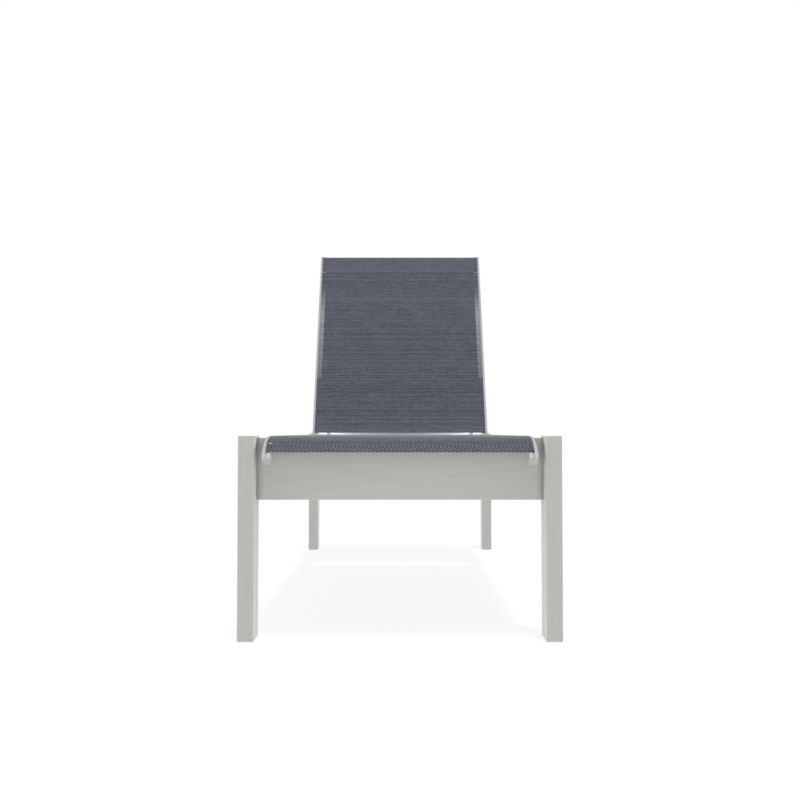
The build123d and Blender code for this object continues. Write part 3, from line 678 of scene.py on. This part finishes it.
# The cloth. Its weave is in metres, and its tones are in display levels: the darkest and
# lightest of the yarns across and along, and how far those two kinds stand apart.
CELL = 0.00422              # width of one bundle of yarns in the basket weave
YARNS = 3                   # yarns in a bundle
SEAT_YARNS = ((68, 71, 86), (145, 149, 164), (34, 37, 52), (60, 64, 79), 1.0)
BACK_YARNS = ((60, 63, 78), (148, 152, 167), (49, 52, 67), (83, 87, 101), 0.5)
# Painted shade for the weave's low places, between the yarns
WEAVE_SHADE_TONE = linear(48, 50, 62)
CLOUD_TONE = linear(112, 115, 127)
STRIP_TONE = linear(178, 178, 182)
HEM_TONE = linear(128, 131, 143)
# Painted shade for the line along each hem's fold
FOLD_SHADE_TONE = linear(52, 54, 67)
SHEEN, SHEEN_ROUGHNESS = 0.14, 0.28
HEM_END = (0.270, 0.2725)   # metres off the middle where a hem's lighter tone ends

# Pale strip over each back rail, in metres: where it starts up the cloth, the line that its
# strength follows, where it fades away, and its two edges across the cloth
Strip = namedtuple("Strip", "start zero full fade_start fade_end inner outer")
BACK_STRIP = Strip(0.2085, 0.06, 0.516, 0.45, 0.615, 0.269, 0.2835)


def weave(s, cu, cv):
    """The bundles' column and row, which yarns lie on top there, 1 for those across the
    width, and the weave's height, from places on the cloth counted in bundles."""
    column, row = s.math("FLOOR", cu), s.math("FLOOR", cv)
    over = s.size(s.math("MODULO", s.plus(column, row), 2.0))
    under = s.minus(1.0, over)
    ridge_v = s.ridges(cv, YARNS)
    ridge_u = s.ridges(cu, YARNS)
    arch_u = s.ridges(cu)
    arch_v = s.ridges(cv)
    across = s.times(s.plus(0.5, s.times(ridge_v, 0.5)), arch_u)
    lengthwise = s.times(s.plus(0.5, s.times(ridge_u, 0.5)), arch_v)
    height = s.plus(s.times(across, over), s.times(lengthwise, under))
    return column, row, over, height


def strip_share(s, u, v, shade, strip):
    """How strongly the pale strip shows, streaked by the yarns' own tones."""
    side = s.size(u)
    past_inner = s.ramp(side, strip.inner - 0.002, strip.inner + 0.001)
    past_outer = s.ramp(side, strip.outer - 0.0003, strip.outer + 0.0003)
    band = s.times(past_inner, s.minus(1.0, past_outer))
    faded = s.ramp(v, strip.fade_start, strip.fade_end)
    run = s.times(s.line(v, strip.zero, strip.full), s.minus(1.0, faded))
    run = s.times(run, s.ramp(v, strip.start, strip.start + 0.006))
    streak = s.plus(0.5, s.times(shade, 0.6))
    return s.times(band, run, streak)


def hem_tone(s, tone, between, reach, hem):
    """The cloth's tone over a hem, a little lighter, with a dark line of painted shade at its fold.
    """
    past_hem = s.ramp(reach, (hem.width - 1.5) * MM, hem.width * MM)
    band = s.times(between, s.minus(1.0, past_hem))
    tone = s.mix(s.times(band, 0.12), tone, HEM_TONE)
    # Painted shade along the hem's fold
    past_fold = s.ramp(reach, (hem.inset + 0.3) * MM, (hem.inset + 2.0) * MM)
    return s.mix(s.times(s.minus(1.0, past_fold), 0.2), tone, FOLD_SHADE_TONE)


def cloth_shader(name, yarns, hems, length, strip=None):
    """Woven vinyl-coated mesh: a basket weave of two tones whose yarns change tone along
    their length, painted shade in its low places and along each hem's fold, hems that lie
    a little lighter, and a pale strip over each rail."""
    weft_low, weft_high, warp_low, warp_high, contrast = yarns
    s = Shader(name, roughness=0.62, specular=0.25)
    uv = s.tree.nodes.new("ShaderNodeUVMap")
    uv.uv_map = "cloth"
    u, v, _ = s.split(uv.outputs[0])
    cu, cv = s.math("DIVIDE", u, CELL), s.math("DIVIDE", v, CELL)
    column, row, over, height = weave(s, cu, cv)

    # every yarn across the width has a tone of its own and changes slowly along its length
    pick = s.math("FLOOR", s.times(cv, YARNS))
    dye = s.shuffle(s.plus(pick, 0.5))
    slow = s.yarn(s.times(u, 12.0), pick, 200.5)
    slub = s.yarn(s.times(u, 50.0), pick, 4000.5, detail=1.0)
    warp = s.yarn(s.times(v, 20.0), column, 9000.5)
    knot = s.shuffle(s.plus(s.times(row, 977.0), column))
    cloud = s.noise(1.0, stretch=(9.0, 12.0, 1.0), source="UV")

    shade = s.blend_of((dye, 0.65), (slow, 1.2), (slub, 1.0))
    light_yarn = s.mix(shade, linear(*weft_low), linear(*weft_high))
    dark_yarn = s.mix(s.blend_of((warp, 1.6)), linear(*warp_low), linear(*warp_high))
    tone = s.mix(s.blend_of((over, contrast)), dark_yarn, light_yarn)
    tone = s.mix(s.times(knot, 0.15), tone, linear(*warp_low))
    # Painted shade: the weave darkens where it lies low
    deep = s.minus(1.0, s.ramp(height, 0.0, 0.5))
    tone = s.mix(s.times(deep, 0.4), tone, WEAVE_SHADE_TONE)
    tone = s.mix(s.times(s.ramp(cloud, 0.3, 0.75), 0.08), tone, CLOUD_TONE)
    if strip:
        tone = s.mix(strip_share(s, u, v, shade, strip), tone, STRIP_TONE)
    between = s.minus(1.0, s.ramp(s.size(u), *HEM_END))
    for hem in hems:
        reach = s.size(v) if hem.at_start else s.minus(length * MM, v)
        tone = hem_tone(s, tone, between, reach, hem)

    s.colour(tone)
    put(s.tree, s.surface.inputs["Roughness"], s.minus(0.66, s.times(height, 0.16)))
    s.surface.inputs["Sheen Weight"].default_value = SHEEN
    s.surface.inputs["Sheen Roughness"].default_value = SHEEN_ROUGHNESS
    s.bump(height, strength=0.25, distance=0.0003)
    return s.material


# Painted shade on the aprons' ends towards the legs, over their last END_SHADE metres
END_SHADE_TO = box("front_apron")[1].x * MM
END_SHADE = 0.020           # length of a board's darkened end, in metres
upright = board_shader("board_grain_up", (9.0, 9.0, 0.6))
# The aprons' boards: five levels lighter than the other boards as painted light, with painted shade
# at their ends
crosswise = board_shader("board_grain_across", (0.6, 9.0, 9.0), 5, END_SHADE_TO - END_SHADE)
endways = board_shader("board_grain_along", (9.0, 0.6, 9.0))
rail_paint = paint_shader("rail_powder_coat", (206, 205, 203))
# Painted light: the bars have the rails' coat, made lighter here in place of the light on them
bar_lit_paint = paint_shader("bar_powder_coat_painted_light", (229, 228, 226))
# Painted shade: the elevator has the rails' coat, made darker here in place of the shade it lies in
elevator_shaded_paint = paint_shader("elevator_powder_coat_painted_shade", (188, 187, 185))
# Painted light: the braces, clips and plates have a coat made lighter than the rails' in place of
# the light on them
bracket_lit_paint = paint_shader("bracket_powder_coat_painted_light", (222, 221, 218), 0.5)
cap_plastic = plastic_shader("cap_moulding", (182, 181, 177), 0.55)
# A white moulding, made this light partly as painted light on the hinge
bearing = plastic_shader("hinge_bearing_moulding", (229, 228, 225), 0.5)
nylon = plastic_shader("bearing_moulding", (150, 150, 148), 0.45)
spline = plastic_shader("spline_extrusion", (70, 71, 78), 0.5)
steel = steel_shader("stainless_fastener")
weld = weld_shader("painted_weld")
tonal_thread = thread_shader("tonal_thread", (98, 100, 112))
grey_thread = thread_shader("grey_thread", (140, 141, 150))
light_thread = thread_shader("light_thread", (194, 195, 201))
pale_thread = thread_shader("pale_thread", (226, 226, 228))


def node_material(name):
    """The material of a kept CAD node, by what kind of piece it is."""
    if name.startswith(("front_leg", "rear_leg")):
        return upright
    if "apron" in name:
        return crosswise
    if name.startswith("side_board"):
        return endways
    if "spline" in name:
        return spline
    if "_cap_" in name:
        return cap_plastic
    if "hinge_plug" in name:
        return bearing
    if any(word in name for word in ("glides", "spacers", "foot_plugs", "rack_left", "rack_right")):
        return nylon
    if any(word in name for word in ("screws", "bolts", "nuts", "inserts")):
        return steel
    if any(word in name for word in ("brace", "clips", "plate")):
        return bracket_lit_paint
    if "_bar_" in name:
        return bar_lit_paint
    if "elevator" in name:
        return elevator_shaded_paint
    return rail_paint


for name, obj in nodes.items():
    for slot in obj.material_slots:
        slot.material = node_material(name)

# The two cloths, with their hems, stitches and tacks
seat_hems = [Hem(True, 30.3, 0.6, 0.22), Hem(False, 30.0, 1.0, 0.0)]
back_hems = [Hem(True, 30.0, 1.0, 0.22), Hem(False, 71.0, 0.1, 0.22)]
seat_cloth = cloth_shader("seat_cloth", SEAT_YARNS, seat_hems, SEAT_LENGTH)
back_cloth = cloth_shader("back_cloth", BACK_YARNS, back_hems, BACK_LENGTH, BACK_STRIP)
seat = sling("seat_cloth_sheet", seat_place, SEAT_LENGTH, seat_hems, seat_cloth, 3)
back = sling("back_cloth_sheet", back_place, BACK_LENGTH, back_hems, back_cloth, 5)

CLOTH_TOP = SHEET_LOW + SHEET
THREAD_SINK = 0.05          # stitches lie this far into the cloth, and tacks stand as far out
STITCH_REACH = RAIL_INNER_X - 3.0
seams = {"seat": [], "back": []}
# Thread of the left and the right tack at each hem, the start of the cloth first: in the
# photo one tack at the front is pale and the two at the back's top are light
seat_threads = ((pale_thread, grey_thread), (tonal_thread, tonal_thread))
back_threads = ((tonal_thread, tonal_thread), (light_thread, light_thread))
for label, place, length, hems, body, threads in (
        ("seat", seat_place, SEAT_LENGTH, seat_hems, "frame", seat_threads),
        ("back", back_place, BACK_LENGTH, back_hems, "back", back_threads)):
    for hem, pair in zip(hems, threads):
        end = "low" if hem.at_start else "high"
        along = hem.width - STITCH_INSET if hem.at_start else length - hem.width + STITCH_INSET
        made = [stitch_line(f"{label}_stitches_{end}", place, along, CLOTH_TOP - THREAD_SINK,
                            STITCH_REACH, tonal_thread)]
        for sign, side, thread in zip((-1, 1), ("left", "right"), pair):
            made.append(bar_tack(f"{label}_tack_{end}_{side}", place, along,
                                 CLOTH_TOP + THREAD_SINK, sign, thread))
        for piece in made:
            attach(piece, body)
            seams[label].append(piece)

# Each sheet goes with its body, and the CAD sling it stands for is hidden
for label, piece, body, length in (
        ("seat", seat, "frame", SEAT_LENGTH), ("back", back, "back", BACK_LENGTH)):
    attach(piece, body)
    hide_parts(f"{label}_sling")

seat_bars = ("seat_bar_front", "seat_bar_middle", "seat_bar_rear")
back_bars = ("back_bar_lower", "back_bar_middle", "back_bar_upper")
seat_welds = bar_welds("seat_bar_welds", seat_bars, False, weld)
back_welds = bar_welds("back_bar_welds", back_bars, True, weld)
leg_welds = elevator_welds("elevator_foot_welds", weld)
for piece, body in ((seat_welds, "frame"), (back_welds, "back"), (leg_welds, "elevator")):
    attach(piece, body)


# Floor, light and camera

WHITE = (1, 1, 1, 1)
FLOOR_SIZE = 14.0
FLOOR_DROP = 0.0002         # keeps the floor clear of the feet's undersides
FLOOR_CATCH = (0.02, 0.02, 0.02, 1)
FLOOR_SEEN = 0.923          # the floor's own glow where it is seen; the lamp adds the rest
FLOOR_BOUNCE = 0.948        # and where it only lights the lounge
SIDE_LIGHT, SIDE_FOCUS = 10.4, 16.0
TOP_LIGHT, TOP_FOCUS = 3.0, 8.0
END_LIGHT = 0.5
SUN_ENERGY = 15.0
SUN_SPREAD = math.radians(8.0)
SUN_DIRECTION = Vector((-0.10, 0.25, -1.0))
SENSOR_WIDTH = 36.0
CAMERA_LENS = 43.456
CAMERA_PLACE = (0.0, -2.8676, 0.442)
CAMERA_PITCH = 1.90


def seen_directly(tree, kinds):
    """1 for rays of any of these kinds and 0 for all others."""
    path = tree.nodes.new("ShaderNodeLightPath")
    seen = path.outputs[kinds[0]]
    for kind in kinds[1:]:
        seen = math_node(tree, "MAXIMUM", seen, path.outputs[kind])
    return seen


def make_floor():
    """A floor that is white where seen, with a faint shadow, and lights the lounge softly."""
    bm = bmesh.new()
    bmesh.ops.create_grid(bm, x_segments=1, y_segments=1, size=FLOOR_SIZE)
    material = bpy.data.materials.new("studio_floor")
    material.use_nodes = True
    tree = material.node_tree
    tree.nodes.clear()
    output = tree.nodes.new("ShaderNodeOutputMaterial")
    total = tree.nodes.new("ShaderNodeAddShader")
    glow = tree.nodes.new("ShaderNodeEmission")
    glow.inputs["Color"].default_value = WHITE
    catcher = tree.nodes.new("ShaderNodeBsdfDiffuse")
    catcher.inputs["Color"].default_value = FLOOR_CATCH
    tree.links.new(glow.outputs[0], total.inputs[0])
    tree.links.new(catcher.outputs[0], total.inputs[1])
    tree.links.new(total.outputs[0], output.inputs[0])
    seen = seen_directly(tree, ("Is Camera Ray", "Is Glossy Ray", "Is Transmission Ray"))
    strength = tree.nodes.new("ShaderNodeMapRange")
    strength.inputs["To Min"].default_value = FLOOR_BOUNCE
    strength.inputs["To Max"].default_value = FLOOR_SEEN
    tree.links.new(seen, strength.inputs["Value"])
    tree.links.new(strength.outputs["Result"], glow.inputs["Strength"])
    floor = new_object("studio_floor", bm, material, smooth=False)
    floor.location = (0, 0, -FLOOR_DROP)
    return floor


def make_world():
    """Soft lights at both sides and overhead, weaker ones in front and behind; white where seen."""
    world = bpy.data.worlds.new("studio")
    bpy.context.scene.world = world
    world.use_nodes = True
    tree = world.node_tree
    tree.nodes.clear()
    output = tree.nodes.new("ShaderNodeOutputWorld")
    lit = tree.nodes.new("ShaderNodeBackground")
    white = tree.nodes.new("ShaderNodeBackground")
    white.inputs["Strength"].default_value = 1.0
    white.inputs["Color"].default_value = WHITE
    lit.inputs["Color"].default_value = WHITE
    place = tree.nodes.new("ShaderNodeTexCoord")
    split = tree.nodes.new("ShaderNodeSeparateXYZ")
    tree.links.new(place.outputs["Generated"], split.inputs[0])
    x, y, z = split.outputs

    def maths(operation, *values):
        return math_node(tree, operation, *values)

    side = maths("MULTIPLY", maths("POWER", maths("ABSOLUTE", x), SIDE_FOCUS), SIDE_LIGHT)
    above = maths("MULTIPLY", maths("POWER", maths("MAXIMUM", z, 0.0), TOP_FOCUS), TOP_LIGHT)
    ends = maths("MULTIPLY", maths("MULTIPLY", y, y), END_LIGHT)
    tree.links.new(maths("ADD", side, maths("ADD", above, ends)), lit.inputs["Strength"])
    seen = seen_directly(tree, ("Is Camera Ray", "Is Transmission Ray", "Is Glossy Ray"))
    choose = tree.nodes.new("ShaderNodeMixShader")
    tree.links.new(seen, choose.inputs[0])
    tree.links.new(lit.outputs[0], choose.inputs[1])
    tree.links.new(white.outputs[0], choose.inputs[2])
    tree.links.new(choose.outputs[0], output.inputs[0])


def make_sun(floor):
    """A lamp for the floor alone, which gives the faint shadow under the lounge."""
    sun = bpy.data.lights.new("floor_sun", "SUN")
    sun.energy = SUN_ENERGY
    sun.angle = SUN_SPREAD
    sun_object = bpy.data.objects.new("floor_sun", sun)
    sun_object.rotation_euler = SUN_DIRECTION.to_track_quat("-Z", "Y").to_euler()
    bpy.context.collection.objects.link(sun_object)
    lit_by_sun = bpy.data.collections.new("lit_by_floor_sun")
    lit_by_sun.objects.link(floor)
    sun_object.light_linking.receiver_collection = lit_by_sun


make_world()
make_sun(make_floor())

camera = bpy.data.cameras.new("camera")
camera.sensor_width = SENSOR_WIDTH
camera.sensor_fit = "HORIZONTAL"
camera.lens = CAMERA_LENS
camera_object = bpy.data.objects.new("camera", camera)
camera_object.location = CAMERA_PLACE
camera_object.rotation_euler = (math.radians(90 + CAMERA_PITCH), 0, 0)
bpy.context.collection.objects.link(camera_object)
bpy.context.scene.camera = camera_object
bpy.context.scene.view_settings.view_transform = "Standard"
